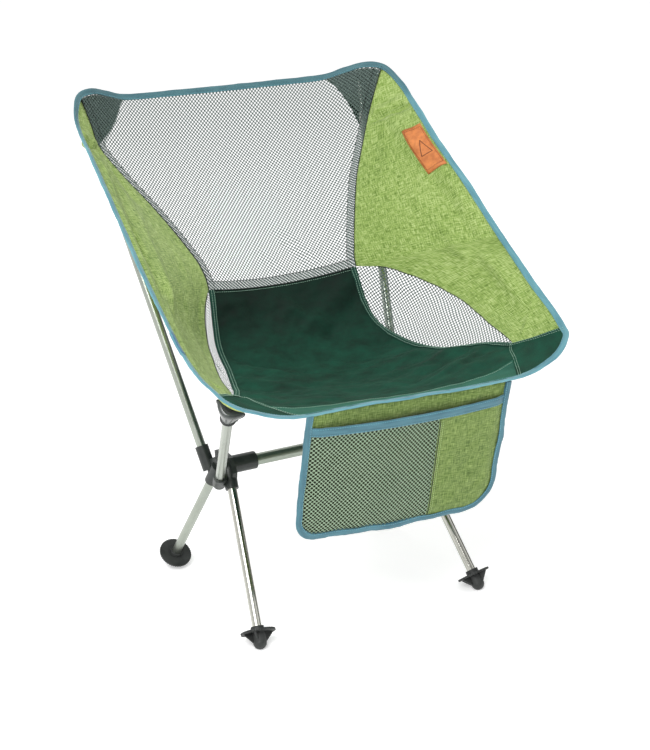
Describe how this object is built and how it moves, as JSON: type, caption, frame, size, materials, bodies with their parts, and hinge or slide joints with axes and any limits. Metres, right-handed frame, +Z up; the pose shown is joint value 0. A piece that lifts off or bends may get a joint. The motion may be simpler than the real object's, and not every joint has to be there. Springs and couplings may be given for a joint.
{
  "type": "ultralight backpacking chair",
  "caption": "Low folding camp chair: pole frame with moulded hubs and sprung legs, bucket sling of mesh and cloth, and an organiser hung at the front.",
  "frame": {"origin": "on the floor under the middle of the chair", "axes": "+Z up, +Y towards the backrest, +X to the viewer's right when the chair is seen from the front"},
  "size_m": [0.5284, 0.5316, 0.6672],
  "materials": {
    "hub_plastic": "satin moulded",
    "crossbar_metal": "satin anodised",
    "tube_metal": "satin anodised",
    "polished_tube": "polished",
    "ferrule_metal": "plain drawn",
    "plug_plastic": "moulded",
    "elastic_cord": "braided",
    "foot_rubber": "moulded",
    "mesh_cloth": "open knitted mesh",
    "heather_cloth": "heather weave",
    "seat_cloth": "dense plain weave",
    "binding_tape": "grosgrain tape",
    "patch_leather": "fine grain",
    "cup_plastic": "gloss moulded"
  },
  "bodies": {
    "frame_and_sling": {"hub_left": "hub_plastic", "hub_right": "hub_plastic", "crossbar": "crossbar_metal", "back_pole_lower_left": "tube_metal", "back_pole_lower_right": "tube_metal", "back_pole_upper_left": "tube_metal", "back_pole_upper_right": "tube_metal", "front_pole_left": "tube_metal", "front_pole_right": "tube_metal", "back_pole_ferrule_left": "ferrule_metal", "back_pole_ferrule_right": "ferrule_metal", "back_pole_plug_left": "plug_plastic", "back_pole_plug_right": "plug_plastic", "front_pole_plug_left": "plug_plastic", "front_pole_plug_right": "plug_plastic", "back_pole_cord_left": "elastic_cord", "back_pole_cord_right": "elastic_cord", "front_pole_cord_left": "elastic_cord", "front_pole_cord_right": "elastic_cord", "back_mesh": "mesh_cloth", "side_mesh_left": "mesh_cloth", "side_mesh_right": "mesh_cloth", "top_corner_layer_left": "mesh_cloth", "top_corner_layer_right": "mesh_cloth", "side_panel_left": "heather_cloth", "side_panel_right": "heather_cloth", "seat_panel": "seat_cloth", "back_corner_pouch_left": "seat_cloth", "back_corner_pouch_right": "seat_cloth", "edge_binding": "binding_tape", "label_patch": "patch_leather", "front_corner_cup_left": "cup_plastic", "front_corner_cup_right": "cup_plastic"},
    "front_leg_left_assembly": {"front_leg_left": "polished_tube", "front_leg_foot_left": "foot_rubber", "front_leg_cord_left": "elastic_cord"},
    "rear_leg_left_assembly": {"rear_leg_left": "tube_metal", "rear_leg_foot_left": "foot_rubber", "rear_leg_cord_left": "elastic_cord"},
    "front_leg_right_assembly": {"front_leg_right": "polished_tube", "front_leg_foot_right": "foot_rubber", "front_leg_cord_right": "elastic_cord"},
    "rear_leg_right_assembly": {"rear_leg_right": "tube_metal", "rear_leg_foot_right": "foot_rubber", "rear_leg_cord_right": "elastic_cord"},
    "organiser": {"pocket_back_panel": "heather_cloth", "pocket_binding": "binding_tape", "pocket_front_mesh": "mesh_cloth", "pocket_front_cloth": "heather_cloth", "pocket_mouth_band": "binding_tape"}
  },
  "joints": [
    {"name": "front_leg_left_pull", "type": "slide", "parent": "frame_and_sling", "child": "front_leg_left_assembly", "axis": [-0.1323, -0.6236, -0.7705], "range_m": [0, 0.034], "stiffness_N_per_m": 150, "springref_m": -0.03},
    {"name": "rear_leg_left_pull", "type": "slide", "parent": "frame_and_sling", "child": "rear_leg_left_assembly", "axis": [-0.0738, 0.5542, -0.8291], "range_m": [0, 0.034], "stiffness_N_per_m": 150, "springref_m": -0.03},
    {"name": "front_leg_right_pull", "type": "slide", "parent": "frame_and_sling", "child": "front_leg_right_assembly", "axis": [0.1323, -0.6236, -0.7705], "range_m": [0, 0.034], "stiffness_N_per_m": 150, "springref_m": -0.03},
    {"name": "rear_leg_right_pull", "type": "slide", "parent": "frame_and_sling", "child": "rear_leg_right_assembly", "axis": [0.0738, 0.5542, -0.8291], "range_m": [0, 0.034], "stiffness_N_per_m": 150, "springref_m": -0.03},
    {"name": "organiser_flap", "type": "hinge", "parent": "frame_and_sling", "child": "organiser", "pos_m": [-0.004, -0.248, 0.349], "axis": [-1, 0, 0], "range_deg": [-20, 95]}
  ]
}
